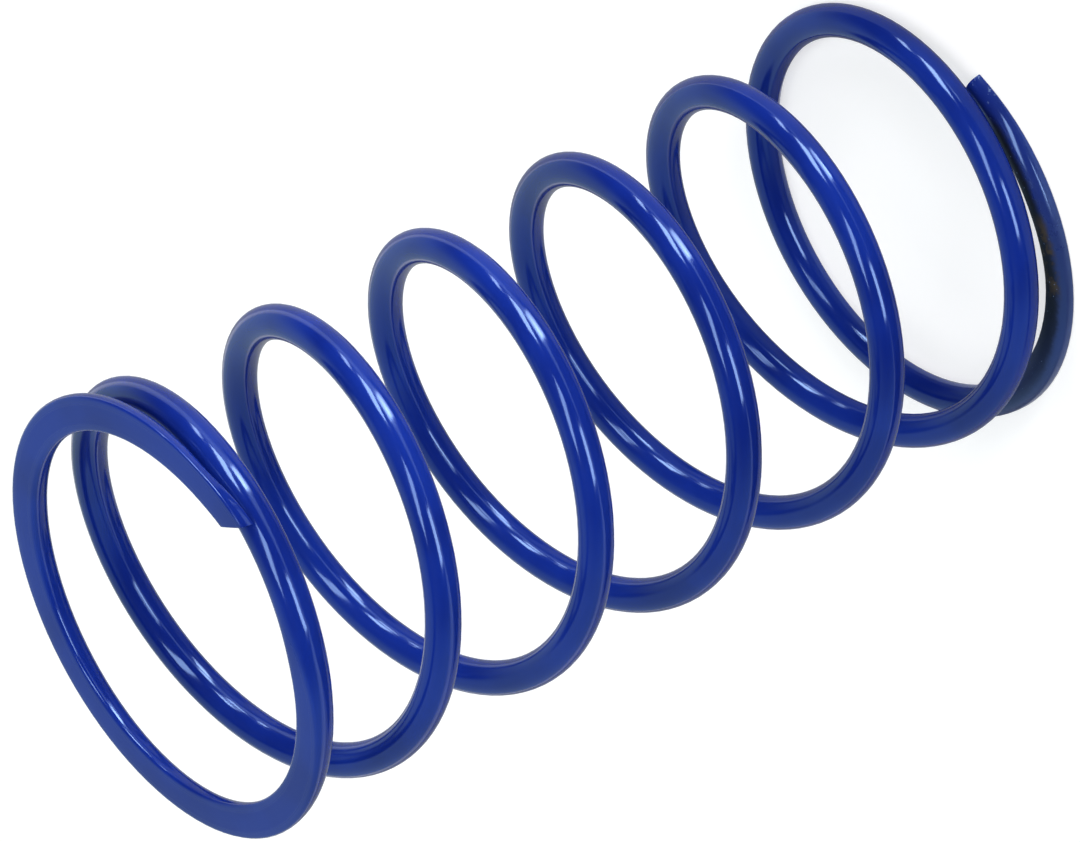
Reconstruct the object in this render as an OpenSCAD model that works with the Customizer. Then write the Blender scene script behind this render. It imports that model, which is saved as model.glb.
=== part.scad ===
// Left-hand wound compression spring for a clutch, with closed and ground ends.
// The origin is on the coil's axis in the plane of the lower ground end, and +Z runs along the axis.
// The lower wire tip lies at +X. All lengths are in millimetres.

/* [Coil] */
// Outside diameter over the body coils
outside_d = 56; // [50:0.5:62]
// Diameter of the coated wire
wire_d = 4.3; // [3.8:0.1:4.8]
// Free length between the two ground ends
free_length = 121; // [112:1:130]
// Turns of wire from tip to tip
turns = 7.03; // [6.5:0.01:7.5]
// Bow of the coil's axis, as the middle coils stand off the line between the ends
axis_bow = 1.2; // [0:0.1:2]
// Direction of that bow, in degrees from +X
bow_angle = 227; // [0:1:360]

/* [Ends] */
// Turns at each end that run almost flat before the coil opens
closed_turns = 0.62; // [0.55:0.01:0.7]
// Turns over which the coil opens from the closed end to the body pitch
opening_turns = 0.8; // [0.7:0.05:0.9]
// Clear gap between a tip and the coil beside it
tip_gap = 0.15; // [0.1:0.05:0.4]
// Thickness of wire left at a tip by the grinding
tip_thickness = 1.4; // [1:0.1:2]
// Growth of the coil's radius at the closed ends
end_growth = 0.8; // [0:0.1:1.2]
// Distance from a tip, in turns, at which that growth begins
growth_turns = 1.5; // [1.2:0.1:2]

/* [Facets] */
// Sides of the wire's section
wire_sides = 14; // [10:2:16]
// Sections along each turn
turn_steps = 48; // [36:4:48]

/* [Hidden] */

paint_blue = [0.07, 0.15, 0.55];

wire_r = wire_d / 2;
body_r = (outside_d - wire_d) / 2;
// Depth of a tip's centre line outside the ground plane
tip_depth = wire_r - tip_thickness;
// Rise of the centre line from one tip to the other
travel = free_length + 2 * tip_depth;
// Rise over the first turn, which lays the tip on the next coil
first_rise = wire_d + tip_gap;

// The coil's rise per turn eases from end_pitch to body_pitch. Opening(s) is that easing, s turns
// from a tip, and opened(s) is its integral, so the rise itself is a closed expression.
function ease(x) =
    x <= 0 ? 0 : x >= 1 ? 1 : x * x * (3 - 2 * x);
function opening(s) = ease((s - closed_turns) / opening_turns);
function opened(s) =
    let (x = (s - closed_turns) / opening_turns)
    x <= 0 ? 0
    : x < 1 ? opening_turns * (pow(x, 3) - pow(x, 4) / 2)
    : opening_turns * (x - 1 / 2);

// The two pitches follow from the rise of the first turn and the travel over all the turns.
first_opened = opened(1);
late_turns = 2 * (closed_turns + opening_turns / 2) / (1 - first_opened);
body_pitch = (travel - late_turns * first_rise) / (turns - late_turns);
end_pitch = (first_rise - body_pitch * first_opened) / (1 - first_opened);

function rise(s) = end_pitch * s + (body_pitch - end_pitch) * opened(s);
function rise_rate(s) = end_pitch + (body_pitch - end_pitch) * opening(s);

// The centre line, u turns from the lower tip. Both ends are alike.
function from_tip(u) = min(u, turns - u);
function lift(u) = (u <= turns / 2 ? rise(u) : travel - rise(turns - u)) - tip_depth;
function coil_r(u) = body_r + end_growth * ease(growth_turns - from_tip(u));
function bow(z) =
    let (q = 2 * z / free_length - 1)
    axis_bow * (1 - q * q) * [cos(bow_angle), sin(bow_angle), 0];

// One section of the wire, square to the centre line
function section(u) =
    let (
        around = -360 * u,
        outward = [cos(around), sin(around), 0],
        along = [sin(around), -cos(around), 0],
        lead = atan2(rise_rate(from_tip(u)), 2 * PI * coil_r(u)),
        upward = [0, 0, cos(lead)] - sin(lead) * along,
        centre = coil_r(u) * outward + bow(lift(u)) + [0, 0, lift(u)]
    )
    [for (i = [0 : wire_sides - 1])
        let (a = 360 * (i + 0.5) / wire_sides)
        centre + wire_r * (cos(a) * outward + sin(a) * upward)];

// The wire with its tips still round, a sweep of the section along the centre line
module wire() {
    steps = ceil(turns * turn_steps);
    points = [for (k = [0 : steps]) each section(turns * k / steps)];
    start = [for (i = [0 : wire_sides - 1]) i];
    finish = [for (i = [wire_sides - 1 : -1 : 0]) steps * wire_sides + i];
    sides = [for (k = [0 : steps - 1], i = [0 : wire_sides - 1])
        let (
            j = (i + 1) % wire_sides,
            low = k * wire_sides,
            high = low + wire_sides
        )
        each [[low + i, high + i, high + j], [low + i, high + j, low + j]]];
    polyhedron(points = points, faces = concat([start], sides, [finish]), convexity = 20);
}

// The finished spring, with both ends ground flat and square to the axis
module clutch_spring() {
    reach = outside_d;
    color(paint_blue)
        intersection() {
            wire();
            translate([-reach, -reach, 0])
                cube([2 * reach, 2 * reach, free_length]);
        }
}

clutch_spring();
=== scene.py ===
"""A blue left-hand compression spring with closed and ground ends, standing on one end in a plain studio."""

import logging
import math
from dataclasses import dataclass, field
from enum import Enum
from typing import Any

import bpy
from mathutils import Matrix, Vector


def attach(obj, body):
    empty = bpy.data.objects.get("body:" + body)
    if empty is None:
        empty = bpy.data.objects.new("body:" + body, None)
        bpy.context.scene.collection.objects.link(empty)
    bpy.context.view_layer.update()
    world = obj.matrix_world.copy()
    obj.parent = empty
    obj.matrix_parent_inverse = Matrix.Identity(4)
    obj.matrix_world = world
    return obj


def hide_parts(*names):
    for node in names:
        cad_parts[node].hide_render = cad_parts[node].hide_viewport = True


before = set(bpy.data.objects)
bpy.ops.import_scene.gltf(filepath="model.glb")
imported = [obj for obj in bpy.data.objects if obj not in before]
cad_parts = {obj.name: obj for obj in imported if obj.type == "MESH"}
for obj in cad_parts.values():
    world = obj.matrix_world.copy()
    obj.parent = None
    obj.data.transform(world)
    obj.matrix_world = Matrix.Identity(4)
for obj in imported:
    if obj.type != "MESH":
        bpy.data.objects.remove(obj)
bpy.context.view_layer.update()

LOG = logging.getLogger("clutch_spring")
MM = 0.001

Colour = tuple[float, float, float]
Span = tuple[float, float, float, float]


def from_srgb(red: int, green: int, blue: int) -> Colour:
    """Turn an sRGB colour into the linear one that shaders take.

    Args:
        red: Red from 0 to 255.
        green: Green from 0 to 255.
        blue: Blue from 0 to 255.

    Returns:
        The linear colour.
    """

    def linear(part: int) -> float:
        """Linear value of one channel."""
        share = part / 255
        return share / 12.92 if share <= 0.04045 else ((share + 0.055) / 1.055) ** 2.4

    return linear(red), linear(green), linear(blue)


def ease(share: float) -> float:
    """Smooth step from 0 to 1, flat outside."""
    held = min(max(share, 0.0), 1.0)
    return held * held * (3 - 2 * held)


def towards(azimuth: float, elevation: float) -> Vector:
    """Point in a direction.

    Args:
        azimuth: Degrees from +X towards +Y.
        elevation: Degrees over the floor.

    Returns:
        The unit vector.
    """
    flat = math.cos(math.radians(elevation))
    turn = math.radians(azimuth)
    return Vector((flat * math.cos(turn), flat * math.sin(turn), math.sin(math.radians(elevation))))


class Trait(Enum):
    """Values stored on the wire's vertices, for patterns that follow the wire."""

    ALONG = "along"
    AROUND = "around"


class Value:
    """A shader value: arithmetic on it adds the Math nodes that work it out."""

    def __init__(self, graph: "ShaderGraph", socket: bpy.types.NodeSocket) -> None:
        """Wrap an output socket of a graph."""
        self.graph = graph
        self.socket = socket

    def _math(self, operation: str, *parts: "Value | float", clamp: bool = False) -> "Value":
        """Add one Math node.

        Args:
            operation: The Math node's operation.
            parts: Its inputs, in order.
            clamp: Whether the result is held between 0 and 1.

        Returns:
            The node's result.
        """
        settings = {"operation": operation, "use_clamp": clamp}
        return self.graph.node("ShaderNodeMath", settings, dict(enumerate(parts)))

    def __add__(self, other: "Value | float") -> "Value":
        """Sum."""
        return self._math("ADD", self, other)

    def __radd__(self, other: float) -> "Value":
        """Sum with a number on the left."""
        return self._math("ADD", other, self)

    def __sub__(self, other: "Value | float") -> "Value":
        """Difference."""
        return self._math("SUBTRACT", self, other)

    def __rsub__(self, other: float) -> "Value":
        """Difference with a number on the left."""
        return self._math("SUBTRACT", other, self)

    def __mul__(self, other: "Value | float") -> "Value":
        """Product."""
        return self._math("MULTIPLY", self, other)

    def __rmul__(self, other: float) -> "Value":
        """Product with a number on the left."""
        return self._math("MULTIPLY", other, self)

    def larger(self, other: "Value | float") -> "Value":
        """The larger of two values."""
        return self._math("MAXIMUM", self, other)

    def step(self, low: float, high: float) -> "Value":
        """Smooth step of this value.

        Args:
            low: The value at which the step begins.
            high: The value at which it is complete. Below low, the step falls instead.

        Returns:
            A value from 0 to 1.
        """
        settings = {"interpolation_type": "SMOOTHSTEP"}
        rising = low < high
        first, last = (low, high) if rising else (high, low)
        ends = (0.0, 1.0) if rising else (1.0, 0.0)
        inputs = {"Value": self, "From Min": first, "From Max": last, "To Min": ends[0], "To Max": ends[1]}
        return self.graph.node("ShaderNodeMapRange", settings, inputs)

    def between(self, start: float, full: float, fade: float, end: float) -> "Value":
        """A window of this value: 0 before start, 1 from full to fade, and 0 after end."""
        return self.step(start, full) * self.step(end, fade)


class ShaderGraph:
    """The node tree of a material or a world, filled through one method."""

    def __init__(self, tree: bpy.types.NodeTree) -> None:
        """Empty the tree."""
        self.tree = tree
        tree.nodes.clear()

    def node(
        self,
        kind: str,
        settings: dict[str, Any] | None = None,
        inputs: dict[str | int, Any] | None = None,
        output: str | int = 0,
    ) -> Value:
        """Add a node.

        Args:
            kind: The node's type.
            settings: Its own properties, set first.
            inputs: Values or links of its sockets, by name or number.
            output: The output socket that is returned.

        Returns:
            That output, as a value.
        """
        made = self.tree.nodes.new(kind)
        for name, setting in (settings or {}).items():
            setattr(made, name, setting)
        for name, given in (inputs or {}).items():
            socket = made.inputs[name]
            if isinstance(given, Value):
                self.tree.links.new(given.socket, socket)
            elif socket.type == "RGBA" and len(given) == 3:
                socket.default_value = (*given, 1.0)
            else:
                socket.default_value = given
        return Value(self, made.outputs[output]) if made.outputs else Value(self, None)

    def mix(self, share: Value | float, first: Value | Colour, second: Value | Colour) -> Value:
        """Blend two colours.

        Args:
            share: How much of the second colour shows.
            first: The colour at 0.
            second: The colour at 1.

        Returns:
            The blended colour.
        """
        settings = {"data_type": "RGBA", "blend_type": "MIX"}
        return self.node("ShaderNodeMix", settings, {0: share, 6: first, 7: second}, output=2)

    def noise(self, place: Value, scale: float, detail: float, rough: float = 0.5) -> Value:
        """Noise with a scale per metre, from about 0.25 to 0.75."""
        inputs = {"Vector": place, "Scale": scale, "Detail": detail, "Roughness": rough}
        return self.node("ShaderNodeTexNoise", {"noise_dimensions": "3D"}, inputs)

    def trait(self, trait: Trait) -> Value:
        """A value stored on the mesh."""
        return self.node("ShaderNodeAttribute", {"attribute_name": trait.value}, output="Fac")

    def place(self) -> Value:
        """Place on the object, in metres."""
        return self.node("ShaderNodeTexCoord", output="Object")


@dataclass(frozen=True)
class BluePaint:
    """Glossy blue coating over steel, thin and worn through on the lower end coil, where a near-black strip facing
    the next coil is partly bare steel and partly painted shade of the gap between the coils.

    Fields that end in turns are stretches of wire, from the lower tip. Fields that end in side are degrees round the
    section, from outward towards up. A span tells where a pattern begins, is full, fades and ends.
    """

    name: str = "blue_paint"
    deep: Colour = from_srgb(11, 30, 109)
    bright: Colour = from_srgb(15, 38, 125)
    dull: Colour = from_srgb(34, 46, 86)
    # Near-black of the strip facing the next coil: bare steel, with painted shade of the gap between the coils in
    # it.
    bare_and_shade: Colour = from_srgb(14, 15, 20)
    rust: Colour = from_srgb(60, 49, 28)
    chip: Colour = from_srgb(104, 124, 165)
    sheen: Colour = (0.4, 0.61, 1.0)
    index: float = 1.68
    gloss_roughness: float = 0.095
    cloud_roughness: float = 0.04
    dull_roughness: float = 0.34
    bare_roughness: float = 0.55
    ground_roughness: float = 0.4
    cloud_scale: float = 70.0
    peel_scale: float = 260.0
    ragged_scale: float = 700.0
    grit_scale: float = 2400.0
    peel_height: float = 0.008 * MM
    bare_relief: float = 2.5
    cloud_levels: tuple[float, float] = (0.35, 0.65)
    bare_shade_turns: Span = (0.035, 0.06, 0.17, 0.38)
    bare_shade_side: Span = (54.0, 82.0, 150.0, 175.0)
    bare_shade_fray: float = 30.0
    wider_turns: tuple[float, float] = (0.11, 0.16)
    wider_by: float = 8.0
    dull_turns: Span = (-0.05, 0.19, 0.33, 0.41)
    dull_side: tuple[float, float] = (-100.0, -60.0)
    dull_share: float = 0.75
    matt_turns: Span = (0.08, 0.18, 0.33, 0.41)
    matt_fray: float = 0.1
    rust_turns: Span = (0.12, 0.138, 0.18, 0.2)
    rust_levels: tuple[float, float] = (0.44, 0.56)
    speck_levels: tuple[float, float] = (0.7, 0.74)
    chip_turns: tuple[float, float] = (0.05, 0.025)
    chip_side: Span = (5.0, 20.0, 80.0, 100.0)
    chip_levels: tuple[float, float] = (0.6, 0.66)
    face_edge: float = 0.02 * MM

    def material(self, free_length: float) -> bpy.types.Material:
        """Make the material.

        Args:
            free_length: The spring's length, which places its upper ground face.

        Returns:
            The material.
        """
        made = bpy.data.materials.new(self.name)
        made.use_nodes = True
        graph = ShaderGraph(made.node_tree)
        place = graph.place()
        along = graph.trait(Trait.ALONG)
        around = graph.trait(Trait.AROUND)
        cloud = graph.noise(place, self.cloud_scale, 2.0)
        ragged = graph.noise(place, self.ragged_scale, 4.0, 0.6)
        grit = graph.noise(place, self.grit_scale, 2.0)

        # Strip facing the next coil: partly bare steel, partly painted shade where the next coil shades it.
        bare_and_shade = self._bare_and_shaded_band(along, around, ragged)
        outside = around.step(*self.dull_side)
        dull = along.between(*self.dull_turns) * outside
        matt = (along + (ragged - 0.5) * self.matt_fray).between(*self.matt_turns) * outside
        rust = bare_and_shade * along.between(*self.rust_turns) * ragged.step(*self.rust_levels)
        speck = bare_and_shade * grit.step(*self.speck_levels)
        chip = along.step(*self.chip_turns) * around.between(*self.chip_side) * ragged.step(*self.chip_levels)
        ground = self._ground_faces(graph, place, free_length)

        colour = graph.mix(cloud.step(*self.cloud_levels), self.deep, self.bright)
        colour = graph.mix(dull * self.dull_share, colour, self.dull)
        # Paints that strip near-black, as bare steel and as painted shade between the coils.
        colour = graph.mix(bare_and_shade, colour, self.bare_and_shade)
        colour = graph.mix(rust, colour, self.rust)
        colour = graph.mix(speck.larger(chip), colour, self.chip)

        rough = self.gloss_roughness + self.cloud_roughness * cloud
        rough = rough + ground * (self.ground_roughness - self.gloss_roughness)
        rough = rough + matt * (self.dull_roughness - self.gloss_roughness)
        rough = rough + bare_and_shade * (self.bare_roughness - self.gloss_roughness)

        peel = graph.noise(place, self.peel_scale, 2.0)
        height = peel * (1 - bare_and_shade) + bare_and_shade * ragged * self.bare_relief
        relief = {"Strength": 1.0, "Distance": self.peel_height, "Height": height}
        looks = {
            "Base Color": colour,
            "Roughness": rough,
            "Normal": graph.node("ShaderNodeBump", None, relief),
            "IOR": self.index,
            "Specular Tint": self.sheen,
        }
        shader = graph.node("ShaderNodeBsdfPrincipled", None, looks)
        graph.node("ShaderNodeOutputMaterial", None, {"Surface": shader})
        return made

    def _bare_and_shaded_band(self, along: Value, around: Value, ragged: Value) -> Value:
        """The strip on the lower end coil, facing the next coil, that the paint didn't reach; its near-black is
        partly bare steel and partly painted shade of the gap between the coils.

        Args:
            along: Turns from the lower tip.
            around: Degrees round the section, from outward towards up.
            ragged: Noise that frays the strip's edge.

        Returns:
            The strip, as a value from 0 to 1.
        """
        widening = along.step(*self.wider_turns) * self.wider_by
        frayed = around + widening + (ragged - 0.5) * self.bare_shade_fray
        return along.between(*self.bare_shade_turns) * frayed.between(*self.bare_shade_side)

    def _ground_faces(self, graph: ShaderGraph, place: Value, free_length: float) -> Value:
        """Find the two flat end faces.

        Args:
            graph: The material's graph.
            place: Place on the object.
            free_length: Height of the upper face.

        Returns:
            The faces, as a value from 0 to 1.
        """
        height = graph.node("ShaderNodeSeparateXYZ", None, {0: place}, output="Z")
        lower = height.step(2 * self.face_edge, self.face_edge)
        upper = height.step(free_length - 2 * self.face_edge, free_length - self.face_edge)
        return lower.larger(upper)


@dataclass(frozen=True)
class StudioFloor:
    """A large plain pale floor, which keeps the object's shadow."""

    name: str = "studio_floor"
    span: float = 8.0
    colour: Colour = (0.86, 0.86, 0.86)
    seen_colour: Colour = (0.48, 0.48, 0.48)
    lift: Colour = (0.6, 0.6, 0.6)

    def build(self) -> bpy.types.Object:
        """Add the floor and dress it.

        Returns:
            The floor.
        """
        bpy.ops.object.select_all(action="DESELECT")
        bpy.ops.mesh.primitive_plane_add(size=self.span, location=(0, 0, 0))
        floor = bpy.context.object
        floor.name = self.name
        floor.data.materials.append(self._material())
        return floor

    def _material(self) -> bpy.types.Material:
        """Make a matt white, lifted for what the camera and gloss see, so that the shadow stays faint there.

        Returns:
            The material.
        """
        made = bpy.data.materials.new(self.name)
        made.use_nodes = True
        graph = ShaderGraph(made.node_tree)
        camera, gloss, glass = (
            graph.node("ShaderNodeLightPath", None, None, f"Is {kind} Ray")
            for kind in ("Camera", "Glossy", "Transmission")
        )
        matt = graph.node("ShaderNodeBsdfDiffuse", None, {"Color": self.colour})
        base = graph.node("ShaderNodeBsdfDiffuse", None, {"Color": self.seen_colour})
        glow = graph.node("ShaderNodeEmission", None, {"Color": self.lift, "Strength": 1.0})
        lifted = graph.node("ShaderNodeAddShader", None, {0: base, 1: glow})
        seen = camera.larger(gloss).larger(glass)
        surface = graph.node("ShaderNodeMixShader", None, {0: seen, 1: matt, 2: lifted})
        graph.node("ShaderNodeOutputMaterial", None, {"Surface": surface})
        return made


@dataclass(frozen=True)
class Card:
    """A matt card laid on the floor, which only the spring's gloss shows.

    It runs out along an azimuth, from a near edge that is measured from the spring's axis.
    """

    name: str
    azimuth: float
    near: float
    length: float
    width: float
    level: float
    height: float

    def build(self) -> bpy.types.Object:
        """Lay the card on the floor.

        Returns:
            The card.
        """
        middle = (self.near + self.length / 2) * towards(self.azimuth, 0.0)
        bpy.ops.object.select_all(action="DESELECT")
        bpy.ops.mesh.primitive_plane_add(
            size=1.0, location=(middle.x, middle.y, self.height), rotation=(0, 0, math.radians(self.azimuth))
        )
        card = bpy.context.object
        card.name = self.name
        card.scale = (self.length, self.width, 1.0)
        bpy.ops.object.transform_apply(location=True, rotation=True, scale=True)
        made = bpy.data.materials.new(self.name)
        made.use_nodes = True
        graph = ShaderGraph(made.node_tree)
        matt = graph.node("ShaderNodeBsdfDiffuse", None, {"Color": (self.level, self.level, self.level)})
        graph.node("ShaderNodeOutputMaterial", None, {"Surface": matt})
        card.data.materials.append(made)
        card.visible_camera = card.visible_diffuse = card.visible_shadow = False
        return card


@dataclass(frozen=True)
class SoftBox:
    """One rectangular studio lamp, aimed at the spring. Its sizes are the angles that it fills there."""

    name: str
    azimuth: float
    elevation: float
    width: float
    height: float
    radiance: float
    roll: float = 0.0
    distance: float = 0.9
    aim_height: float = 0.065
    spread: float = 180.0
    shown: bool = True

    def build(self) -> bpy.types.Object:
        """Add the lamp.

        Returns:
            The lamp.
        """
        heading = towards(self.azimuth, self.elevation)
        across = 2 * self.distance * math.tan(math.radians(self.width) / 2)
        upright = 2 * self.distance * math.tan(math.radians(self.height) / 2)
        lamp = bpy.data.lights.new(self.name, "AREA")
        lamp.shape = "RECTANGLE"
        lamp.size = across
        lamp.size_y = upright
        lamp.spread = math.radians(self.spread)
        lamp.energy = self.radiance * math.pi * across * upright * self._beam()
        made = bpy.data.objects.new(self.name, lamp)
        turn = heading.to_track_quat("Z", "Y").to_matrix().to_4x4()
        place = Matrix.Translation(Vector((0, 0, self.aim_height)) + self.distance * heading)
        made.matrix_world = place @ turn @ Matrix.Rotation(math.radians(self.roll), 4, "Z")
        made.visible_camera = False
        made.visible_glossy = self.shown
        bpy.context.scene.collection.objects.link(made)
        return made

    def _beam(self) -> float:
        """Share of the power that a lamp with this spread needs for the same radiance straight ahead."""
        half = math.radians(self.spread) / 2
        return 1 - half / math.tan(half) if self.spread < 180 else 1.0


@dataclass(frozen=True)
class Surroundings:
    """The room round the lamps: dark where they stand, grey behind the spring."""

    front_azimuth: float = 5.0
    front_elevation: float = 15.0
    dark: Colour = (0.03, 0.03, 0.03)
    grey: Colour = (0.41, 0.54, 0.56)
    turnover: tuple[float, float] = (0.35, -0.3)

    def build(self) -> bpy.types.World:
        """Make the world.

        Returns:
            The world.
        """
        world = bpy.data.worlds.new("studio_room")
        world.use_nodes = True
        graph = ShaderGraph(world.node_tree)
        sight = graph.node("ShaderNodeTexCoord", None, None, "Generated")
        front = towards(self.front_azimuth, self.front_elevation)
        facing = graph.node("ShaderNodeVectorMath", {"operation": "DOT_PRODUCT"}, {0: sight, 1: front}, "Value")
        tone = graph.mix(facing.step(*self.turnover), self.dark, self.grey)
        shader = graph.node("ShaderNodeBackground", None, {"Color": tone, "Strength": 1.0})
        graph.node("ShaderNodeOutputWorld", None, {"Surface": shader})
        bpy.context.scene.world = world
        return world


@dataclass(frozen=True)
class Viewpoint:
    """The camera, with the photograph's viewing angle and roll."""

    place: tuple[float, float, float] = (0.69571, -0.36005, 0.52905)
    right: tuple[float, float, float] = (0.176873, -0.634217, -0.752652)
    up: tuple[float, float, float] = (0.620926, 0.665229, -0.414634)
    lens: float = 251.39
    sensor: float = 36.0
    reach: tuple[float, float] = (0.05, 50.0)

    def build(self) -> bpy.types.Object:
        """Add the camera and make it the scene's.

        Returns:
            The camera.
        """
        data = bpy.data.cameras.new("photo_view")
        data.lens = self.lens
        data.sensor_width = self.sensor
        data.sensor_fit = "HORIZONTAL"
        data.clip_start, data.clip_end = self.reach
        camera = bpy.data.objects.new("photo_view", data)
        right = Vector(self.right).normalized()
        back = right.cross(Vector(self.up)).normalized()
        turn = Matrix((right, back.cross(right), back)).transposed().to_4x4()
        camera.matrix_world = Matrix.Translation(self.place) @ turn
        bpy.context.scene.collection.objects.link(camera)
        bpy.context.scene.camera = camera
        return camera


@dataclass(frozen=True)
class CentreLine:
    """The path of the wire's centre, u turns from the lower tip."""

    outside_d: float = 56.0 * MM
    wire_d: float = 4.3 * MM
    free_length: float = 121.0 * MM
    turns: float = 7.03
    axis_bow: float = 1.08 * MM
    bow_angle: float = math.radians(227.0)
    lean: float = 0.037
    lean_angle: float = math.radians(250.0)
    lean_begin: float = 1.0
    lean_turns: float = 0.7
    closed_turns: float = 0.62
    opening_turns: float = 0.8
    tip_gap: float = 0.15 * MM
    tip_press: float = 0.5 * MM
    press_turns: float = 0.08
    press_end: float = 0.2
    press_fade: float = 0.1
    tip_thickness: float = 1.4 * MM
    lower_growth: float = 0.69 * MM
    upper_growth: float = 0.58 * MM
    upper_swell: float = 0.05
    swell_begin: float = 1.5
    swell_turns: float = 0.6
    growth_turns: float = 1.5
    first: float = 0.018
    last: float = 7.043

    @property
    def wire_r(self) -> float:
        """Radius of the wire."""
        return self.wire_d / 2

    @property
    def body_r(self) -> float:
        """Radius of the body coils' centre line."""
        return (self.outside_d - self.wire_d) / 2

    @property
    def tip_depth(self) -> float:
        """Depth of a tip's centre outside its ground plane."""
        return self.wire_r - self.tip_thickness

    @property
    def travel(self) -> float:
        """Rise from one tip to the other."""
        return self.free_length + 2 * self.tip_depth

    @property
    def body_pitch(self) -> float:
        """Rise per turn of the body coils."""
        late = 2 * (self.closed_turns + self.opening_turns / 2) / (1 - self._opened(1.0))
        return (self.travel - late * (self.wire_d + self.tip_gap)) / (self.turns - late)

    @property
    def end_pitch(self) -> float:
        """Rise per turn at the tips."""
        share = self._opened(1.0)
        return (self.wire_d + self.tip_gap - self.body_pitch * share) / (1 - share)

    @property
    def body_lead(self) -> float:
        """Slope of the body coils, in radians."""
        return math.atan2(self.body_pitch, math.tau * self.body_r)

    def _opened(self, gone: float) -> float:
        """Integrate the opening of the coil from a tip.

        Args:
            gone: Turns from the tip.

        Returns:
            The turns' worth of body pitch that is gained by then.
        """
        share = (gone - self.closed_turns) / self.opening_turns
        if share <= 0:
            return 0.0
        if share < 1:
            return self.opening_turns * (share**3 - share**4 / 2)
        return self.opening_turns * (share - 0.5)

    def lift(self, u: float) -> float:
        """Height of the centre line.

        Args:
            u: Turns from the lower tip.

        Returns:
            The height over the lower ground face.
        """
        gone = min(u, self.turns - u)
        rise = self.end_pitch * gone + (self.body_pitch - self.end_pitch) * self._opened(gone)
        return (rise if u <= self.turns / 2 else self.travel - rise) - self.tip_depth

    def height(self, u: float) -> float:
        """Height of the centre line, with the lean of the coils and the lower tip pressed to the next one.

        Args:
            u: Turns from the lower tip.

        Returns:
            The height over the lower ground face.
        """
        share = 2 * self.lift(u) / self.free_length - 1
        arm = self.coil_r(u) * math.cos(-math.tau * u - self.lean_angle)
        leant = self.lean * share * arm * ease((u - self.lean_begin) / self.lean_turns)
        begun = ease((u - self.first) / self.press_turns)
        pressed = self.tip_press * begun * ease((self.press_end - u) / self.press_fade)
        return self.lift(u) + leant + pressed

    def coil_r(self, u: float) -> float:
        """Radius of the coil's centre line, which grows at the closed ends.

        Args:
            u: Turns from the lower tip.

        Returns:
            The radius.
        """
        gone = min(u, self.turns - u)
        growth = self.lower_growth if u < self.turns / 2 else self.upper_growth
        return self.body_r + growth * ease(self.growth_turns - gone)

    def swell(self, u: float) -> float:
        """Thickness of the wire beside that of the body coils, as the coating ran towards the upper end."""
        return 1 + self.upper_swell * ease((self.swell_begin - self.turns + u) / self.swell_turns)

    def axis(self, height: float) -> Vector:
        """Follow the bowed axis.

        Args:
            height: Height over the lower ground face.

        Returns:
            The axis' point there.
        """
        share = 2 * height / self.free_length - 1
        off = self.axis_bow * (1 - share * share)
        return Vector((off * math.cos(self.bow_angle), off * math.sin(self.bow_angle), height))

    def centre(self, u: float) -> Vector:
        """Follow the centre line.

        Args:
            u: Turns from the lower tip.

        Returns:
            The centre line's point there.
        """
        turn = -math.tau * u
        out = Vector((math.cos(turn), math.sin(turn), 0))
        return self.axis(self.height(u)) + self.coil_r(u) * out

    def locate(self, point: Vector) -> tuple[float, float]:
        """Find where on the wire a point lies.

        Args:
            point: A point on the wire's surface.

        Returns:
            Turns from the lower tip, and degrees round the section from outward towards up.
        """
        arm = point - self.axis(point.z)
        first = (-math.atan2(arm.y, arm.x) / math.tau) % 1.0
        candidates = [first + whole for whole in range(-1, math.ceil(self.turns) + 1)]
        spare = 0.05
        near = [u for u in candidates if -spare <= u <= self.turns + spare]
        u = min(near, key=lambda turn: abs(self.height(turn) - point.z))
        around = math.atan2(point.z - self.height(u), math.hypot(arm.x, arm.y) - self.coil_r(u))
        return u, math.degrees(around)


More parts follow.
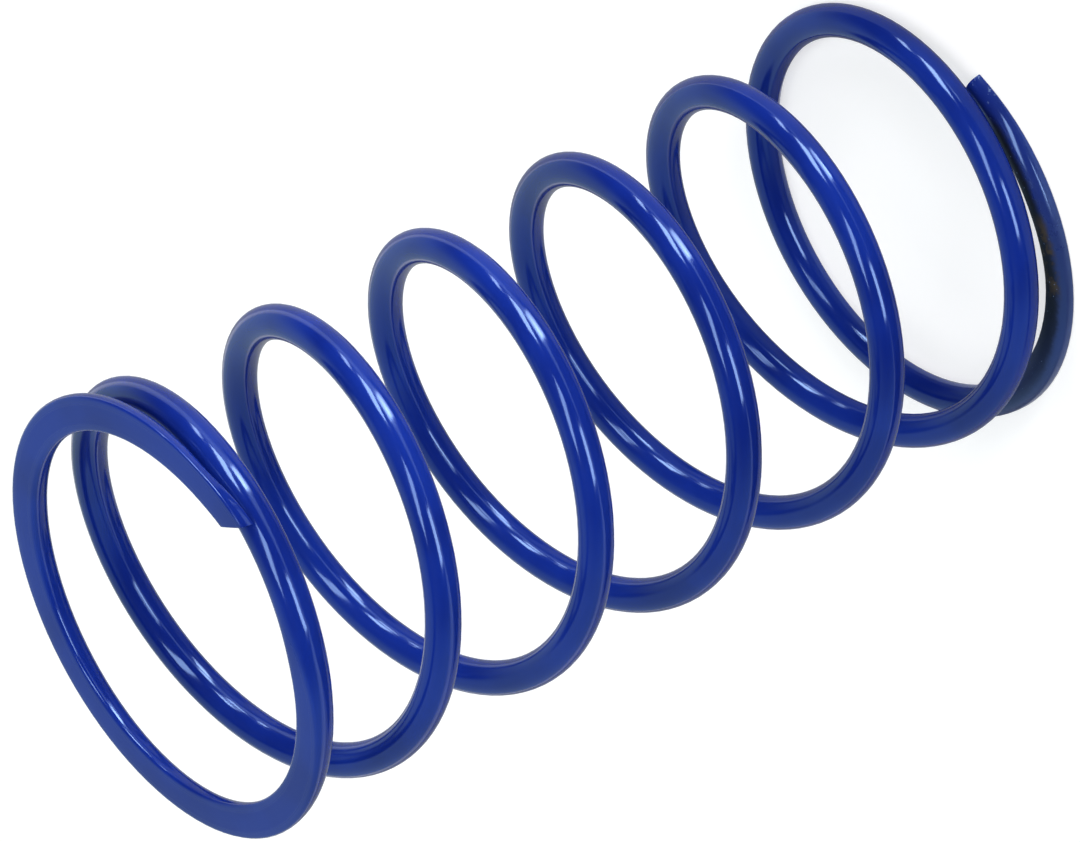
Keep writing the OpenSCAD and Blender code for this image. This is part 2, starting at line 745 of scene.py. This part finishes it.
@dataclass(frozen=True)
class GroundSection:
    """Outline of the wire's section, round but for one flat, whose edges the coating rounds."""

    thin_edge: float = 0.24 * MM
    thick_edge: float = 0.85 * MM
    edge_shift: float = 0.2
    crown: float = 0.05 * MM
    flat_rows: int = 5
    edge_rows: int = 4
    round_rows: int = 11
    narrow: float = 0.25 * MM
    wide: float = 1.2 * MM

    @property
    def rows(self) -> int:
        """Steps from the middle of the flat to the far side of the wire."""
        return self.flat_rows + self.edge_rows + self.round_rows

    def outline(self, depth: float, radius: float) -> list[tuple[float, float]]:
        """Follow half of the outline, from the middle of the flat to the far side.

        The rows of points keep to the flat's edges where it is wide and spread evenly where it runs out.

        Args:
            depth: Distance of the wire's centre from the ground plane, negative when the centre is ground off.
            radius: The wire's radius.

        Returns:
            Points across the wire from its middle, and off the ground plane.
        """
        edge = self.thin_edge + (self.thick_edge - self.thin_edge) * ease(depth / radius + self.edge_shift)
        inner = radius - edge
        half = math.sqrt(max(inner**2 - (depth - edge) ** 2, 0.0)) if depth < radius else 0.0
        begin = math.atan2(edge - depth, half) if half else -math.pi / 2
        lengths = (half, edge * (begin + math.pi / 2), radius * (math.pi / 2 - begin))
        sunk = self.crown * min(half / self.wide, 1.0)
        aligned = ease((half - self.narrow) / (self.wide - self.narrow))
        points = []
        for row in range(self.rows + 1):
            even = sum(lengths) * row / self.rows
            gone = even + aligned * (self._aligned(row, lengths) - even)
            if gone <= lengths[0]:
                points.append((gone, sunk * (gone / half) ** 2 if half else depth - radius))
            elif gone <= lengths[0] + lengths[1]:
                share = (gone - lengths[0]) / lengths[1]
                angle = (gone - lengths[0]) / edge - math.pi / 2
                points.append((half + edge * math.cos(angle), edge * (1 + math.sin(angle)) + sunk * (1 - share)))
            else:
                angle = begin + (gone - lengths[0] - lengths[1]) / radius
                points.append((radius * math.cos(angle), depth + radius * math.sin(angle)))
        return points

    def _aligned(self, row: int, lengths: tuple[float, float, float]) -> float:
        """Measure along the outline to a row that keeps to the flat's edges.

        Args:
            row: The row's number, from the middle of the flat.
            lengths: Lengths of the flat, its rounded edge and the round.

        Returns:
            The length.
        """
        gone = 0.0
        for count, length in zip((self.flat_rows, self.edge_rows, self.round_rows), lengths):
            gone += length * min(max(row, 0), count) / count
            row -= count
        return gone


@dataclass
class ClutchSpring:
    """The spring: round wire swept along its centre line, with both ends ground flat and coated."""

    path: CentreLine = field(default_factory=CentreLine)
    paint: BluePaint = field(default_factory=BluePaint)
    name: str = "painted_spring"
    upper_section: GroundSection = field(default_factory=GroundSection)
    lower_section: GroundSection = field(
        default_factory=lambda: GroundSection(thin_edge=0.18 * MM, thick_edge=0.4 * MM)
    )
    turn_steps: int = 96
    tip_round: float = 0.2 * MM
    tip_segments: int = 3
    smooth_angle: float = math.radians(50.0)
    tip_skew: float = 0.55
    skew_turns: float = 0.03
    skirt_turns: float = 0.045
    skirt_drop: float = 0.5 * MM
    skirt_rise: float = 0.3
    skirt_end: float = 0.95
    skirt_fade: float = 0.5

    @property
    def count(self) -> int:
        """Steps of the sweep."""
        return math.ceil((self.path.last - self.path.first) * self.turn_steps)

    def build(self) -> bpy.types.Object:
        """Model the spring, dress it and let it stand for the CAD solid.

        Returns:
            The finished piece.
        """
        spring = self._sweep()
        self._grind(spring)
        self._soften(spring)
        self._store_traits(spring)
        spring.data.materials.append(self.paint.material(self.path.free_length))
        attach(spring, "root")
        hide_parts("clutch_spring")
        LOG.info("%s: %d faces", spring.name, len(spring.data.polygons))
        return spring

    def _place(self, step: int) -> float:
        """Turns from the lower tip at one step of the sweep."""
        return self.path.first + (self.path.last - self.path.first) * step / self.count

    def _sweep(self) -> bpy.types.Object:
        """Extrude a ring of the wire's section step by step along the centre line, and cap the tips.

        Returns:
            The swept wire, one ring of vertices after another.
        """
        bpy.ops.object.select_all(action="DESELECT")
        start = self._place(0)
        bpy.ops.mesh.primitive_circle_add(
            vertices=2 * self.upper_section.rows,
            radius=self.path.wire_r,
            fill_type="NOTHING",
            location=self.path.centre(start),
            rotation=(math.pi / 2 - self.path.body_lead, 0, -math.tau * start),
        )
        wire = bpy.context.object
        wire.name = self.name
        bpy.ops.object.transform_apply(location=True, rotation=True, scale=True)
        bpy.ops.object.mode_set(mode="EDIT")
        bpy.ops.mesh.select_mode(type="VERT")
        bpy.ops.mesh.select_all(action="SELECT")
        bpy.ops.mesh.edge_face_add()
        turn = math.tau * (self._place(1) - start)
        for step in range(1, self.count + 1):
            swung = Matrix.Rotation(-turn, 3, "Z") @ self.path.centre(self._place(step - 1))
            bpy.ops.mesh.extrude_region_move()
            bpy.ops.transform.rotate(value=turn, orient_axis="Z", center_override=(0, 0, 0))
            bpy.ops.transform.translate(value=self.path.centre(self._place(step)) - swung)
        bpy.ops.mesh.select_all(action="SELECT")
        bpy.ops.mesh.normals_make_consistent(inside=False)
        bpy.ops.object.mode_set(mode="OBJECT")
        return wire

    def _grind(self, wire: bpy.types.Object) -> None:
        """Press the rings of both end coils onto their ground section, and shape the upper tip.

        Args:
            wire: The swept wire.
        """
        tilt = self.path.body_lead
        around = 2 * self.upper_section.rows
        for step in range(self.count + 1):
            u = self._place(step)
            upper = u > self.path.turns / 2
            height = self.path.height(u)
            depth = (self.path.free_length - height if upper else height) / math.cos(tilt)
            swell = self.path.swell(u)
            radius = self.path.wire_r * swell
            middle = self.path.centre(u)
            ring = wire.data.vertices[step * around : (step + 1) * around]
            if depth >= radius:
                for vertex in ring:
                    vertex.co = middle + (vertex.co - middle) * swell
                continue
            turn = -math.tau * u
            out = Vector((math.cos(turn), math.sin(turn), 0))
            on = Vector((math.sin(turn), -math.cos(turn), 0))
            off = Vector((0, 0, math.cos(tilt))) - math.sin(tilt) * on
            off = -off if upper else off
            half = (self.upper_section if upper else self.lower_section).outline(depth, radius)
            bridged = self._bridge(half, ease(1 - (self.path.last - u) / self.skirt_turns)) if upper else half
            skew = self.tip_skew * ease(1 - (self.path.last - u) / self.skew_turns) if upper else 0.0
            for vertex in ring:
                arm = vertex.co - middle
                angle = math.atan2(arm.dot(off), arm.dot(out))
                row = round((angle + math.pi / 2) / math.tau * around) % around
                outer = row <= around - row
                across, high = bridged[row] if outer else half[around - row]
                across = across if outer else -across
                vertex.co = middle + across * out + (high - depth) * off + skew * across * on

    def _bridge(self, half: list[tuple[float, float]], share: float) -> list[tuple[float, float]]:
        """Fill out the side of a tip, where the coating bridges to the next coil.

        Args:
            half: Half of the section's outline, from the middle of the flat.
            share: How far the bridge has grown, from 0 to 1.

        Returns:
            The filled out half.
        """
        edge = self.upper_section.flat_rows + self.upper_section.edge_rows
        wall = half[edge][0]
        filled = []
        for row, (across, high) in enumerate(half):
            gone = (row - edge) / self.upper_section.round_rows
            full = share * ease(gone / self.skirt_rise) * ease((self.skirt_end - gone) / self.skirt_fade)
            filled.append((across + full * max(wall - across, 0.0), high + full * self.skirt_drop))
        return filled

    def _soften(self, wire: bpy.types.Object) -> None:
        """Round the cut ends of the wire as the coating does.

        Args:
            wire: The ground wire.
        """
        mesh = wire.data
        around = 2 * self.upper_section.rows
        last = len(mesh.vertices) - around
        weight = mesh.attributes.new("bevel_weight_edge", "FLOAT", "EDGE")
        for edge in mesh.edges:
            low, high = sorted(edge.vertices)
            weight.data[edge.index].value = float(high < around or low >= last)
        rounding = wire.modifiers.new("coated_tips", "BEVEL")
        rounding.limit_method = "WEIGHT"
        rounding.width = self.tip_round
        rounding.segments = self.tip_segments
        bpy.ops.object.modifier_apply(modifier=rounding.name)
        bpy.ops.object.shade_smooth_by_angle(angle=self.smooth_angle)

    def _store_traits(self, wire: bpy.types.Object) -> None:
        """Write each vertex's place along the wire and round its section.

        Args:
            wire: The finished wire.
        """
        mesh = wire.data
        places = [self.path.locate(vertex.co) for vertex in mesh.vertices]
        for trait, values in zip((Trait.ALONG, Trait.AROUND), zip(*places)):
            stored = mesh.attributes.new(trait.value, "FLOAT", "POINT")
            stored.data.foreach_set("value", values)


@dataclass
class Studio:
    """Floor, lamps, room and camera."""

    floor: StudioFloor = field(default_factory=StudioFloor)
    cards: tuple[Card, ...] = (
        Card("dark_card", -46.0, 0.04, 0.6, 0.36, 0.02, 1.5 * MM),
        Card("grey_card", 153.0, -0.15, 0.6, 0.6, 0.38, 1.0 * MM),
    )
    room: Surroundings = field(default_factory=Surroundings)
    view: Viewpoint = field(default_factory=Viewpoint)
    lamps: tuple[SoftBox, ...] = (
        SoftBox("camera_side_box", -46.0, 11.0, 25.0, 16.0, 9.6),
        SoftBox("overhead_box", -11.0, 55.0, 11.0, 35.0, 7.2, roll=15.0),
        SoftBox("low_strip", 10.0, -18.0, 13.0, 50.0, 23.5, distance=0.11, aim_height=0.085, spread=44.0),
        SoftBox("right_box", 26.0, 14.0, 13.0, 27.0, 13.6, roll=26.0),
        SoftBox("right_strip", 48.0, 7.0, 6.0, 14.0, 10.5, roll=10.0),
        SoftBox("ceiling", 0.0, 90.0, 70.0, 70.0, 1.6, distance=1.3, shown=False),
    )

    def build(self) -> None:
        """Set up everything that isn't the object."""
        self.floor.build()
        for card in self.cards:
            card.build()
        self.room.build()
        for lamp in self.lamps:
            lamp.build()
        self.view.build()
        bpy.context.scene.view_settings.view_transform = "Standard"
        LOG.info("studio: %d lamps", len(self.lamps))


def main() -> None:
    """Build the spring and its studio."""
    logging.basicConfig(level=logging.INFO, format="%(name)s %(message)s")
    ClutchSpring().build()
    Studio().build()


if __name__ == "__main__":
    main()
